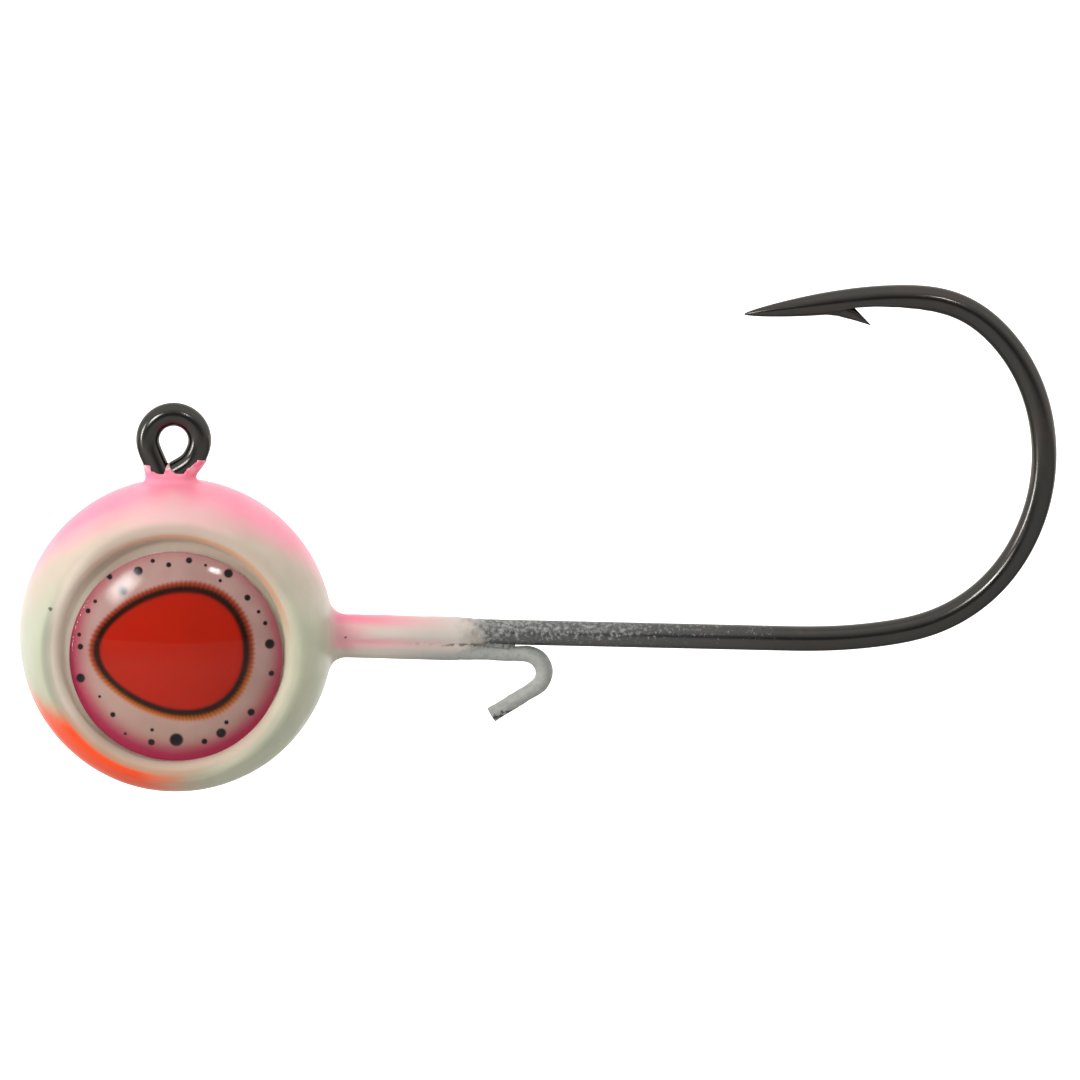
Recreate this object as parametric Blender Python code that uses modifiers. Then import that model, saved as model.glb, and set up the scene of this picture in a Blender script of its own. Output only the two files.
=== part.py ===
"""Jig head for fishing: a ball-shaped lead head cast on a jig hook and a bait keeper wire.

The lead and the front of the shank are powder coated, and a domed stick-on eye sits in a
round socket on each side. Units are metres, +Z is up. The hook lies in the XZ plane: the ball
and its line eye are at the front (-X), the bend is at the back (+X). The origin is the middle
of the line eye's hole.
"""

import math

import bpy
import bmesh
from mathutils import Matrix, Vector

MM = 0.001
GAP = 0.02 * MM  # left between pieces that touch

# The ball and its eye sockets, as the outside of the powder coat
BALL_RADIUS = 6.0 * MM
BALL_CENTRE = Vector((0.095, 0.0, -7.563)) * MM
COAT_THICKNESS = 0.12 * MM
SOCKET_RADIUS = 4.27 * MM
SOCKET_FLOOR = 2.75 * MM  # from the ball's middle plane
SOCKET_FLOOR_FILLET = 0.12 * MM
LIP_RADIUS = 0.45 * MM
BALL_SEGMENTS = 32

# The hook: its wire, then its centreline as straights (length) and arcs (radius, degrees)
SHANK_WIRE_RADIUS = 0.465 * MM
LOOP_WIRE_RADIUS = 0.42 * MM
LOOP_RADIUS = 0.99 * MM  # of the centreline
LOOP_START_ANGLE = -25.0
WIRE_SIDES_SETTING = 4  # a curve's bevel resolution, for 12 sides
CUT_END_STEPS = ((0.2,), (0.95, -35.0), (0.32,))
LEAN_STEPS = ((LOOP_RADIUS / MM, 228.0), (1.98,), (1.0, -23.0))
STEM_STEPS = ((3.375,), (1.2, 88.7))
SHANK_STEPS = ((22.4,),)
BEND_STEPS = ((21.6, 12.0), (6.1, 45.9), (7.4, 53.0), (6.4, 29.1), (3.9, 38.8), (15.9, 10.1))
SPEAR_STEPS = tuple((length,) for length in (0.3, 0.9, 0.8, 0.7, 0.6, 0.4, 0.2, 0.1))
ARC_SAG = 0.015 * MM  # the most that a wire's straight runs cut into its arcs

# The point tapers over POINT_LENGTH, and its barb is raised from the inner side
POINT_LENGTH = 3.75 * MM
POINT_FULLNESS = 0.62
POINT_TIP_RADIUS = 0.025 * MM
BARB_THICKNESS = 0.34 * MM
# The barb's side view from the tip, in millimetres: back along the spear, up across it
BARB_OUTLINE = (
    (3.0, -0.36),
    (3.52, -0.55),
    (4.16, -0.80),
    (4.72, -1.05),
    (4.17, -0.26),
    (3.6, -0.1),
    (3.0, -0.2),
)

# The bait keeper, a thinner wire that runs under the shank and turns back on itself
KEEPER_WIRE_RADIUS = 0.25 * MM
KEEPER_START = Vector((6.55, -8.06)) * MM
KEEPER_HEADING = -1.5
KEEPER_ANCHOR_STEPS = ((0.9,), (2.0, 14.0), (1.3,), (0.7, 60.0), (0.5,))
KEEPER_STEPS = ((6.75,), (0.68, -146.5), (1.9,))

# The coat on the shank and keeper, and the collar of paint where the line eye leaves the ball
SLEEVE_START = 4.9 * MM
SLEEVE_END = 11.9 * MM
SHANK_SLEEVE_RADIUS = 0.55 * MM
KEEPER_SLEEVE_RADIUS = 0.32 * MM
WEB_HALF_WIDTH = 0.2 * MM
WEB_SLOT_HALF_WIDTH = 0.06 * MM
NECK_CENTRE = -0.1 * MM
NECK_BASE_RADIUS = 1.2 * MM
NECK_TOP_RADIUS = 1.04 * MM
NECK_FLATTENING = 0.53
NECK_BOTTOM = -2.3 * MM
NECK_TOP = -1.15 * MM

# The stick-on eyes: foam adhesive, printed film and clear dome
EYE_RADIUS = 4.0 * MM
EYE_SEGMENTS = 32
ADHESIVE_THICKNESS = 0.12 * MM
FILM_THICKNESS = 0.10 * MM
DOME_HEIGHT = 1.08 * MM
DOME_EDGE_HEIGHT = 0.12 * MM
EYE_SIDES = {"left": -1, "right": 1}
EYE_OFFSETS = {"left": (0.12, -0.18), "right": (-0.08, 0.05)}  # mm from the socket's middle


def clear_scene():
    for item in list(bpy.data.objects):
        bpy.data.objects.remove(item, do_unlink=True)


def new_collection(name):
    collection = bpy.data.collections.new(name)
    bpy.context.scene.collection.children.link(collection)
    return collection


def new_material(name, colour, roughness, metallic=0.0):
    material = bpy.data.materials.new(name)
    material.use_nodes = True
    shader = material.node_tree.nodes["Principled BSDF"]
    shader.inputs["Base Color"].default_value = (*colour, 1.0)
    shader.inputs["Roughness"].default_value = roughness
    shader.inputs["Metallic"].default_value = metallic
    return material


def arc_points(centre, radius, start, end, steps):
    """Points of an arc in a plane, angles in degrees."""
    angles = [math.radians(start + (end - start) * i / steps) for i in range(steps + 1)]
    return [(centre[0] + radius * math.cos(a), centre[1] + radius * math.sin(a)) for a in angles]


def trace(start, heading, steps):
    """Walk a centreline in the XZ plane: (length,) goes straight, (radius, degrees) turns.

    Lengths and radii are in millimetres, and a positive turn is anticlockwise with +X to the
    right and +Z up. Returns the points and the last heading.
    """
    x, z = start
    points = [(x, z)]
    for step in steps:
        size = step[0] * MM
        angle = math.radians(heading)
        if len(step) == 1:
            points.append((x + size * math.cos(angle), z + size * math.sin(angle)))
        else:
            turn = step[1]
            side = math.copysign(1.0, turn)
            centre = (x - side * size * math.sin(angle), z + side * size * math.cos(angle))
            widest = math.degrees(2.0 * math.acos(1.0 - ARC_SAG / size))
            first = heading - 90.0 * side
            bend = arc_points(centre, size, first, first + turn, math.ceil(abs(turn) / widest))
            points += bend[1:]
            heading += turn
        x, z = points[-1]
    return points, heading


def hook_sections():
    """The hook's centreline as [cut end and line eye, stem, shank, bend, spear]."""
    start = arc_points((0.0, 0.0), LOOP_RADIUS, LOOP_START_ANGLE, LOOP_START_ANGLE, 1)[0]
    cut_end, _ = trace(start, LOOP_START_ANGLE - 90.0, CUT_END_STEPS)
    sections = []
    heading = LOOP_START_ANGLE + 90.0
    for steps in (LEAN_STEPS, STEM_STEPS, SHANK_STEPS, BEND_STEPS, SPEAR_STEPS):
        points, heading = trace(start, heading, steps)
        start = points[-1]
        sections.append(points)
    sections[0] = cut_end[:0:-1] + sections[0]
    return sections


def hook_wire(extra=0.0):
    """All of the hook's centreline with the wire's radius at each point, plus extra."""
    line_eye, stem, shank, bend, spear = hook_sections()
    points = line_eye + stem[1:] + shank[1:] + bend[1:] + spear[1:]
    radii = [LOOP_WIRE_RADIUS] * len(line_eye)
    radii += [SHANK_WIRE_RADIUS] * (len(points) - len(radii))
    distance = 0.0
    for i in range(len(points) - 1, 0, -1):
        if distance >= POINT_LENGTH:
            break
        taper = SHANK_WIRE_RADIUS * (distance / POINT_LENGTH) ** POINT_FULLNESS
        radii[i] = max(POINT_TIP_RADIUS, taper)
        distance += math.dist(points[i], points[i - 1])
    return points, [radius + extra for radius in radii]


def shank_height(x):
    """Height of the shank's centreline at x."""
    (x0, z0), (x1, z1) = hook_sections()[2]
    return z0 + (z1 - z0) * (x - x0) / (x1 - x0)


def keeper_height(x):
    """Height of the keeper's straight run at x."""
    return KEEPER_START.y + (x - KEEPER_START.x) * math.tan(math.radians(KEEPER_HEADING))


def keeper_wire_points():
    anchor, _ = trace(KEEPER_START, KEEPER_HEADING + 180.0, KEEPER_ANCHOR_STEPS)
    run, _ = trace(KEEPER_START, KEEPER_HEADING, KEEPER_STEPS)
    return anchor[:0:-1] + run


def weld(mesh):
    """Join a converted curve's caps to its sides and turn its faces outwards."""
    shape = bmesh.new()
    shape.from_mesh(mesh)
    bmesh.ops.remove_doubles(shape, verts=shape.verts, dist=0.001 * MM)
    bmesh.ops.recalc_face_normals(shape, faces=shape.faces)
    shape.to_mesh(mesh)
    shape.free()


def finish_piece(piece, material):
    """Give a visible piece its material and smooth shading."""
    piece.data.materials.append(material)
    piece.data.shade_smooth()
    piece.data.set_sharp_from_angle(angle=math.radians(40.0))
    return piece


def mesh_from_curve(name, curve, collection):
    """Turn curve data into a closed mesh object."""
    guide = bpy.data.objects.new(name + "_guide", curve)
    collection.objects.link(guide)
    bpy.context.view_layer.update()
    evaluated = guide.evaluated_get(bpy.context.evaluated_depsgraph_get())
    mesh = bpy.data.meshes.new_from_object(evaluated)
    mesh.name = name
    weld(mesh)
    piece = bpy.data.objects.new(name, mesh)
    piece.matrix_world = guide.matrix_world
    collection.objects.link(piece)
    bpy.data.objects.remove(guide, do_unlink=True)
    return piece


def wire(name, points, radii, collection):
    """A round wire along points in the XZ plane."""
    curve = bpy.data.curves.new(name, "CURVE")
    curve.dimensions = "3D"
    curve.bevel_depth = max(radii)
    curve.bevel_resolution = WIRE_SIDES_SETTING
    curve.use_fill_caps = True
    spline = curve.splines.new("POLY")
    spline.points.add(len(points) - 1)
    for knot, (x, z), radius in zip(spline.points, points, radii):
        knot.co = (x, 0.0, z, 1.0)
        knot.radius = radius / curve.bevel_depth
    return mesh_from_curve(name, curve, collection)


def rod(name, height, radius, start, end, collection):
    """A straight round bar along height(x), from x = start to x = end."""
    return wire(name, [(x, height(x)) for x in (start, end)], [radius, radius], collection)


def plate(name, outline, thickness, collection):
    """A flat plate in the XZ plane, thickness across Y."""
    curve = bpy.data.curves.new(name, "CURVE")
    curve.dimensions = "2D"
    curve.fill_mode = "BOTH"
    curve.extrude = thickness / 2.0
    spline = curve.splines.new("POLY")
    spline.points.add(len(outline) - 1)
    spline.use_cyclic_u = True
    for knot, (x, z) in zip(spline.points, outline):
        knot.co = (x, z, 0.0, 1.0)
    piece = mesh_from_curve(name, curve, collection)
    piece.rotation_euler.x = math.radians(90.0)
    return piece


def turned(name, profile, segments, collection):
    """A shape turned about Z from (radius, height) points that run from its top to its base."""
    mesh = bpy.data.meshes.new(name)
    edges = [(i, i + 1) for i in range(len(profile) - 1)]
    mesh.from_pydata([(radius, 0.0, height) for radius, height in profile], edges, [])
    piece = bpy.data.objects.new(name, mesh)
    collection.objects.link(piece)
    screw = piece.modifiers.new("Turn", "SCREW")
    screw.steps = segments
    screw.render_steps = segments
    screw.use_merge_vertices = True
    screw.merge_threshold = 0.001 * MM
    screw.use_smooth_shade = True
    return piece


def carve(piece, tool, operation="DIFFERENCE"):
    """Cut or join a tool, which is then only a guide."""
    modifier = piece.modifiers.new(f"{operation.title()} {tool.name}", "BOOLEAN")
    modifier.operation = operation
    modifier.object = tool
    tool.hide_render = True
    tool.display_type = "WIRE"


def ball_profile(depth):
    """Half outline of the ball with its two sockets, depth below the coat's outside."""
    fillet_centre = (
        SOCKET_RADIUS - SOCKET_FLOOR_FILLET,
        SOCKET_FLOOR + SOCKET_FLOOR_FILLET,
    )
    lip_x = SOCKET_RADIUS + LIP_RADIUS
    lip_centre = (lip_x, math.sqrt((BALL_RADIUS - LIP_RADIUS) ** 2 - lip_x**2))
    lip_end = math.degrees(math.atan2(lip_centre[1], lip_centre[0]))
    upper = [(0.0, SOCKET_FLOOR - depth)]
    upper += arc_points(fillet_centre, SOCKET_FLOOR_FILLET + depth, -90.0, 0.0, 2)
    upper += arc_points(lip_centre, LIP_RADIUS - depth, 180.0, lip_end, 5)
    upper += arc_points((0.0, 0.0), BALL_RADIUS - depth, lip_end, 0.0, 4)[1:]
    lower = [(radius, -height) for radius, height in upper[-2::-1]]
    return upper + lower


def turned_ball(name, depth, collection):
    piece = turned(name, ball_profile(depth), BALL_SEGMENTS, collection)
    piece.rotation_euler.x = math.radians(90.0)
    piece.location = BALL_CENTRE
    return piece


def make_neck(collection):
    """The flattened collar of paint around the wires where they leave the ball."""
    shape = bmesh.new()
    bmesh.ops.create_cone(
        shape,
        cap_ends=True,
        segments=BALL_SEGMENTS,
        radius1=NECK_BASE_RADIUS,
        radius2=NECK_TOP_RADIUS,
        depth=NECK_TOP - NECK_BOTTOM,
        matrix=Matrix.Scale(NECK_FLATTENING, 4, (0.0, 1.0, 0.0)),
    )
    mesh = bpy.data.meshes.new("neck")
    shape.to_mesh(mesh)
    shape.free()
    piece = bpy.data.objects.new("neck", mesh)
    piece.location = (NECK_CENTRE, 0.0, (NECK_TOP + NECK_BOTTOM) / 2.0)
    collection.objects.link(piece)
    return piece


def web_outline(start, end):
    """Side view of the space between the shank's and the keeper's centrelines."""
    top = [(x, shank_height(x)) for x in (start, end)]
    return top + [(x, keeper_height(x)) for x in (end, start)]


def lengthened(points, extra):
    """A centreline whose first point is moved back by extra."""
    first, second = Vector(points[0]), Vector(points[1])
    moved = first + (first - second).normalized() * extra
    return [(moved.x, moved.y)] + points[1:]


def make_channels(collection):
    """Cutters for the room that the hook, the keeper and the slit between them take."""
    line_eye, stem, shank, _, _ = hook_sections()
    past_sleeve = (SLEEVE_END + 3.0 * MM, shank_height(SLEEVE_END + 3.0 * MM))
    points = lengthened(line_eye + stem[1:] + [past_sleeve], GAP)
    radii = [LOOP_WIRE_RADIUS + GAP] * len(line_eye)
    radii += [SHANK_WIRE_RADIUS + GAP] * (len(points) - len(radii))
    hook_channel = wire("hook_channel", points, radii, collection)

    keeper = lengthened(keeper_wire_points(), GAP)
    radii = [KEEPER_WIRE_RADIUS + GAP] * len(keeper)
    keeper_channel = wire("keeper_channel", keeper, radii, collection)

    slot = web_outline(SLEEVE_START + 0.5 * MM, SLEEVE_END + 1.0 * MM)
    web_slot = plate("web_slot", slot, 2.0 * WEB_SLOT_HALF_WIDTH, collection)
    return [hook_channel, keeper_channel, web_slot]


def make_hook(parts, tools, material):
    points, radii = hook_wire()
    hook = wire("hook", points, radii, parts)
    (tip_x, tip_z), (back_x, back_z) = points[-1], points[-2]
    back = Vector((back_x - tip_x, back_z - tip_z)).normalized()
    up = Vector((-back.y, back.x))
    outline = []
    for along, rise in BARB_OUTLINE:
        corner = Vector((tip_x, tip_z)) + (back * along + up * rise) * MM
        outline.append((corner.x, corner.y))
    carve(hook, plate("barb", outline, BARB_THICKNESS, tools), "UNION")
    return finish_piece(hook, material)


def make_keeper(parts, material):
    points = keeper_wire_points()
    keeper = wire("keeper_wire", points, [KEEPER_WIRE_RADIUS] * len(points), parts)
    return finish_piece(keeper, material)


def make_lead_head(parts, channels, material):
    lead = turned_ball("lead_head", COAT_THICKNESS + GAP, parts)
    for channel in channels:
        carve(lead, channel)
    return finish_piece(lead, material)


def make_coat(parts, tools, channels, material):
    """One skin over the ball, its sockets, the neck and the front of the shank and keeper."""
    coat = turned_ball("powder_coat", 0.0, parts)
    ends = (SLEEVE_START, SLEEVE_END)
    web = plate("sleeve_web", web_outline(*ends), 2.0 * WEB_HALF_WIDTH, tools)
    sleeves = [
        make_neck(tools),
        rod("shank_sleeve", shank_height, SHANK_SLEEVE_RADIUS, *ends, tools),
        rod("keeper_sleeve", keeper_height, KEEPER_SLEEVE_RADIUS, *ends, tools),
        web,
    ]
    for sleeve in sleeves:
        carve(coat, sleeve, "UNION")
    carve(coat, turned_ball("coat_core", COAT_THICKNESS, tools))
    for channel in channels:
        carve(coat, channel)
    return finish_piece(coat, material)


def disc_profile(thickness):
    return [(0.0, thickness), (EYE_RADIUS, thickness), (EYE_RADIUS, 0.0), (0.0, 0.0)]


def dome_profile():
    """A clear dome: flat near its middle, rounding down to a short upright edge."""
    steps = 6
    rise = DOME_HEIGHT - DOME_EDGE_HEIGHT
    outline = []
    for i in range(steps + 1):
        share = math.sin(math.pi / 2.0 * i / steps)
        height = DOME_EDGE_HEIGHT + rise * math.sqrt(1.0 - share**2)
        outline.append((EYE_RADIUS * share, height))
    return outline + [(EYE_RADIUS, 0.0), (0.0, 0.0)]


def make_eye(parts, side, materials):
    """Adhesive, film and dome, stacked outwards from the socket's floor."""
    sign = EYE_SIDES[side]
    offset_x, offset_z = EYE_OFFSETS[side]
    layers = (
        ("adhesive", disc_profile(ADHESIVE_THICKNESS), ADHESIVE_THICKNESS),
        ("film", disc_profile(FILM_THICKNESS), FILM_THICKNESS),
        ("dome", dome_profile(), DOME_HEIGHT),
    )
    level = SOCKET_FLOOR + GAP
    for layer, profile, thickness in layers:
        piece = turned(f"eye_{layer}_{side}", profile, EYE_SEGMENTS, parts)
        piece.rotation_euler.x = math.radians(-90.0 * sign)
        piece.location = BALL_CENTRE + Vector((offset_x * MM, sign * level, offset_z * MM))
        finish_piece(piece, materials[layer])
        level += thickness + GAP


def main():
    clear_scene()
    parts = new_collection("jig_head")
    tools = new_collection("jig_head_tools")
    black_nickel = new_material("black_nickel", (0.035, 0.034, 0.036), 0.22, 1.0)
    lead_metal = new_material("lead", (0.25, 0.26, 0.28), 0.5, 1.0)
    keeper_metal = new_material("keeper_steel", (0.45, 0.45, 0.44), 0.45, 0.6)
    ivory_coat = new_material("ivory_coat", (0.73, 0.71, 0.58), 0.32)
    eye_materials = {
        "adhesive": new_material("foam_adhesive", (0.8, 0.79, 0.76), 0.8),
        "film": new_material("printed_film", (0.45, 0.03, 0.02), 0.35),
        "dome": new_material("clear_dome", (0.9, 0.85, 0.85), 0.05),
    }
    channels = make_channels(tools)
    make_hook(parts, tools, black_nickel)
    make_keeper(parts, keeper_metal)
    make_lead_head(parts, channels, lead_metal)
    make_coat(parts, tools, channels, ivory_coat)
    for side in EYE_SIDES:
        make_eye(parts, side, eye_materials)


main()
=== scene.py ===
"""Looks for a jig head: a coated ball of lead with domed eyes on a black nickel hook."""

import functools
import math

import bmesh
import bpy
import numpy as np
from mathutils import Matrix, Vector


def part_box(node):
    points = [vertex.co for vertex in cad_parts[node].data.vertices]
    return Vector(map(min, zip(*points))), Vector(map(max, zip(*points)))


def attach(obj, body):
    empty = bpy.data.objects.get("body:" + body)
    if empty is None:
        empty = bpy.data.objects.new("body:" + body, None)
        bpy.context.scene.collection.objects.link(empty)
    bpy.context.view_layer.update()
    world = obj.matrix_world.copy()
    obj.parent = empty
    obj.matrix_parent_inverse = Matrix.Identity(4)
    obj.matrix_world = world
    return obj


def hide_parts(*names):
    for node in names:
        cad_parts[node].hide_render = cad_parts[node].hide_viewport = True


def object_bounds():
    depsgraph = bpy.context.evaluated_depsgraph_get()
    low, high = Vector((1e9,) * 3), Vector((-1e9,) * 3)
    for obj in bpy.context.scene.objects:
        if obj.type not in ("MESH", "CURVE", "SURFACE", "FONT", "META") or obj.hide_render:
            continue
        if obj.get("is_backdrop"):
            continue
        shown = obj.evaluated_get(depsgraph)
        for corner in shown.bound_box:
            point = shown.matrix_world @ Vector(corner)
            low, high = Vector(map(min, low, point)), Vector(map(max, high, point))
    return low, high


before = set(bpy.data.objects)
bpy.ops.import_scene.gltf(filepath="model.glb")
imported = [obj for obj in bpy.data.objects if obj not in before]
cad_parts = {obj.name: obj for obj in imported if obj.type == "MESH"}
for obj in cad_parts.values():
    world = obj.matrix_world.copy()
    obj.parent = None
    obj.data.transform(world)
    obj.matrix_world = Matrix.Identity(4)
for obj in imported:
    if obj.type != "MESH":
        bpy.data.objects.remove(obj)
cad_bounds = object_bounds()

MM = 0.001  # shapes are worked out in millimetres and scaled when their mesh is made

# The coated ball, in the millimetres of the CAD model
BALL_RADIUS = 6.0
SOCKET_RADIUS = 4.27
SOCKET_FLOOR = 2.75
SOCKET_FILLET = 0.3
LIP_ROUNDING = 0.45
COAT_GRID = 0.085
COARSE_STEPS = 4  # fine steps in a coarse one, where the coat's surface is looked for
PATH_STEP = 0.02  # between the points of a wire's centreline, before its rings are picked

# The hook's centreline, as (length,) straights and (radius, degrees) arcs
LOOP_RADIUS = 0.99
LOOP_TOP = (0.05, 1.0)  # where the centreline passes over the line eye
HOOK_STEPS = (
    (0.44,), (0.95, 35.0), (0.2,), (LOOP_RADIUS, 228.0), (1.98,), (1.0, -23.0),  # line eye
    (3.375,), (1.2, 88.8), (22.75,),  # stem and shank
    (19.8, 11.9), (6.1, 45.9), (7.4, 53.0), (6.4, 29.1), (3.9, 38.8), (15.9, 10.1), (4.06,),
)
CUT_END_HEADING = 30.0
LOOP_TOP_HEADING = 180.0
SHANK_MIDDLE = 26.0  # distance from the cut end
TIGHT_EASING, GENTLE_EASING = 0.16, 0.6  # of the headings, before and after the shank's middle
LOOP_WIRE_RADIUS = 0.445
SHANK_WIRE_RADIUS = 0.48
THICKENING_SPAN = (6.5, 9.5)  # from the cut end, where the wire grows to the shank's radius
RING_STEP = 0.1
TIP_POINTS = 20  # centreline points by the tip that all get a ring
WIRE_SIDES = 32

# The point and its barb, by distance from the tip
POINT_LENGTH = 3.3
POINT_FULLNESS = 0.62
POINT_TIP_RADIUS = 0.012
NOTCH_DEPTH = 0.22
NOTCH_SPAN = (3.3, 4.15, 8.0)  # its start, its deepest place and its end
BARB_LOWER = ((2.1, -0.22), (2.8, -0.37), (3.5, -0.53), (4.16, -0.80), (4.73, -1.06))
BARB_UPPER = ((2.6, 0.05), (3.2, 0.10), (3.75, 0.02), (4.20, -0.30), (4.74, -1.05))
BARB_HALF_WIDTHS = (0.10, 0.30, 0.27, 0.15, 0.012)
BARB_RINGS, BARB_SIDES = 25, 20

# The bait keeper
KEEPER_START = (6.55, -8.09)
KEEPER_HEADING = -1.5
KEEPER_STEPS = ((6.92,), (0.71, -146.5), (1.98,))
KEEPER_EASING = 0.12
KEEPER_RADIUS = 0.30
KEEPER_BEND = 7.8  # distance along it to the bend's middle, where powder has built up
KEEPER_BUILD_UP = 0.035
KEEPER_STRIDE = 4  # centreline points from one ring to the next

# The paint along the shank and keeper, and its edge on the line eye's two limbs, as (x, z)
SLEEVE_SPAN = (4.0, 13.0)
SLEEVE_FADE = (10.2, 13.0)
SLEEVE_THICKNESS = 0.085
WEB_HALF_WIDTH = 0.17  # of the paint between the shank and the keeper
WEB_END = 13.45
BALL_FILLET = 0.6
NECK_FILM = 0.035
NECK_MIDDLE = -0.08
NECK_BASE, NECK_TOP = (-2.3, 1.04), (-1.15, 0.96)  # height and half width
NECK_FLATTENING = 0.53
NECK_EDGE = (
    (-1.20, -0.92), (-0.84, -0.90), (-0.77, -1.12), (-0.52, -1.23), (-0.32, -1.24),
    (-0.25, -0.96), (-0.15, -0.88), (-0.04, -1.06), (0.13, -1.22), (0.42, -1.22),
    (0.57, -1.02), (0.84, -0.82), (0.98, -0.66), (1.20, -0.72),
)
COAT_TOP = -0.4  # no paint is looked for above this

# The stick-on eyes
EYE_DROP = 0.035  # how far one has slipped below its CAD node
EYE_SPREAD = 0.04  # how far its resin has run past the CAD node's rim
EYE_SEGMENTS = 128
AXIS_RADIUS = 0.001  # of a turned piece's rows that close it on its axis
FILM_EDGE = 0.03
FILM_INSET = 0.01
RESIN_EDGE = 0.16
RESIN_OVERLAP = 0.02  # of the resin with the film, which bonds them

# The camera looks along +Y and slightly down, from a macro lens's distance
CAMERA_DISTANCE = 300.0
CAMERA_ELEVATION = 10.73
CAMERA_ROLL = 0.12
CAMERA_TARGET = Vector((13.99, 0.0, -3.84))
FRAME_WIDTH = 41.2  # of the object's plane, across the picture
SENSOR_WIDTH = 36.0

# The light, as radiance: 1 is white
LIGHTS_TARGET = Vector((8.0, 0.0, -4.0))
ROOM_FRONT = 0.15
ROOM_BACK = 1.0
ROOM_SLANT = (0.0, 1.0, 0.6)  # the way that the room brightens
ROOM_SPAN = (-0.98, 0.18)
BACKDROP_GLOW = 0.9
SOFTBOXES = (  # name, first and last bearing, width, radiance
    ("key", (40.0, 13.6), (22.0, 31.5), 88.0, 11.0),
    ("low_strip", (67.0, -14.0), (65.0, 24.0), 76.0, 9.0),
    ("small_fill", (-23.0, 30.5), (-14.0, 34.0), 26.0, 20.0),
)
SOFTBOX_DISTANCE = 400.0
SOFTBOX_EDGE = 0.42  # share of its side over which each end fades in
SOFTBOX_MIDDLE = 1.6  # strength between those ends, once for each side


# ---- places from the frame


def node_box(node):
    """A CAD node's lowest and highest corners, in millimetres."""
    low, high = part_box(node)
    return np.array(low) / MM, np.array(high) / MM


coat_low, coat_high = node_box("powder_coat")
BALL_CENTRE = np.array([coat_low[0] + BALL_RADIUS, 0.0, coat_low[2] + BALL_RADIUS])
LIP_DISTANCE = SOCKET_RADIUS + LIP_ROUNDING
LIP_CENTRE = (LIP_DISTANCE, math.sqrt((BALL_RADIUS - LIP_ROUNDING) ** 2 - LIP_DISTANCE**2))


# ---- meshes and pieces


def mesh_piece(name, vertices, faces, material):
    """A smooth mesh object from vertices in millimetres."""
    mesh = bpy.data.meshes.new(name)
    mesh.from_pydata((np.asarray(vertices) * MM).tolist(), [], [list(face) for face in faces])
    mesh.validate()
    mesh.shade_smooth()
    mesh.materials.append(material)
    piece = bpy.data.objects.new(name, mesh)
    bpy.context.scene.collection.objects.link(piece)
    return piece


def add_piece(piece, slot, *nodes):
    """Make a piece part of the object, in place of its CAD nodes."""
    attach(piece, "root")
    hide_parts(*nodes)
    return piece


def tube_faces(rings, sides):
    """Quads between rings of vertices, with a cap on each end."""
    faces = []
    for ring in range(rings - 1):
        for side in range(sides):
            after = (side + 1) % sides
            a, b = ring * sides, (ring + 1) * sides
            faces.append((a + side, a + after, b + after, b + side))
    faces.append(tuple(reversed(range(sides))))
    faces.append(tuple(range((rings - 1) * sides, rings * sides)))
    return faces


def swept_wire(points, radii, sides, inner=None):
    """Vertices and faces of a round wire along points in the XZ plane.

    inner, if given, is how far each ring reaches on the left of the path, which may be cut flat.
    """
    points = np.asarray(points)
    along = np.gradient(points, axis=0)
    along /= np.linalg.norm(along, axis=1)[:, None]
    across = np.stack([-along[:, 1], along[:, 0]], axis=1)
    angles = np.linspace(0.0, 2.0 * math.pi, sides, endpoint=False)
    reach = radii[:, None] * np.cos(angles)[None, :]
    if inner is not None:
        reach = np.minimum(reach, inner[:, None])
    flat = points[:, None, :] + across[:, None, :] * reach[:, :, None]
    depth = radii[:, None] * np.sin(angles)[None, :]
    vertices = np.stack([flat[..., 0], depth, flat[..., 1]], axis=-1).reshape(-1, 3)
    return vertices, tube_faces(len(points), sides)


def turned_mesh(profile, segments):
    """Vertices and faces of a shape turned about its axis, from (radius, height) rows."""
    rows = np.asarray(profile)
    angles = np.linspace(0.0, 2.0 * math.pi, segments, endpoint=False)
    ring = np.stack([np.cos(angles), np.sin(angles)], axis=1)
    vertices = [
        np.column_stack([ring * radius, np.full(segments, height)]) for radius, height in rows
    ]
    return np.concatenate(vertices), tube_faces(len(rows), segments)


# ---- wire paths


def smoothed(values, width):
    """Values blurred by a bell curve that is width samples wide at one deviation."""
    reach = int(3 * width)
    bell = np.exp(-0.5 * (np.arange(-reach, reach + 1) / width) ** 2)
    padded = np.pad(values, reach, mode="edge")
    return np.convolve(padded, bell / bell.sum(), mode="valid")


def headings_along(steps, heading, spacing):
    """The heading, in degrees, at every spacing along a path of straights and arcs."""
    distances, headings = [0.0], [heading]
    for step in steps:
        turn = step[1] if len(step) == 2 else 0.0
        length = step[0] * math.radians(abs(turn)) if turn else step[0]
        distances.append(distances[-1] + length)
        heading += turn
        headings.append(heading)
    samples = np.arange(0.0, distances[-1] + spacing / 2, spacing)
    return samples, np.interp(samples, distances, headings)


def walk(headings, spacing):
    """Points along headings in degrees, starting at zero."""
    angles = np.radians((headings[1:] + headings[:-1]) / 2)
    steps = np.stack([np.cos(angles), np.sin(angles)], axis=1) * spacing
    return np.concatenate([np.zeros((1, 2)), np.cumsum(steps, axis=0)])


def hook_path():
    """The hook's centreline with evened-out curvature, and the distance along it."""
    samples, headings = headings_along(HOOK_STEPS, CUT_END_HEADING, PATH_STEP)
    tight = smoothed(headings, TIGHT_EASING / PATH_STEP)
    gentle = smoothed(headings, GENTLE_EASING / PATH_STEP)
    headings = np.where(samples < SHANK_MIDDLE, tight, gentle)
    points = walk(headings, PATH_STEP)
    top = np.argmin(np.abs(headings - LOOP_TOP_HEADING))
    points += np.array(LOOP_TOP) - points[top]
    return points, samples


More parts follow.
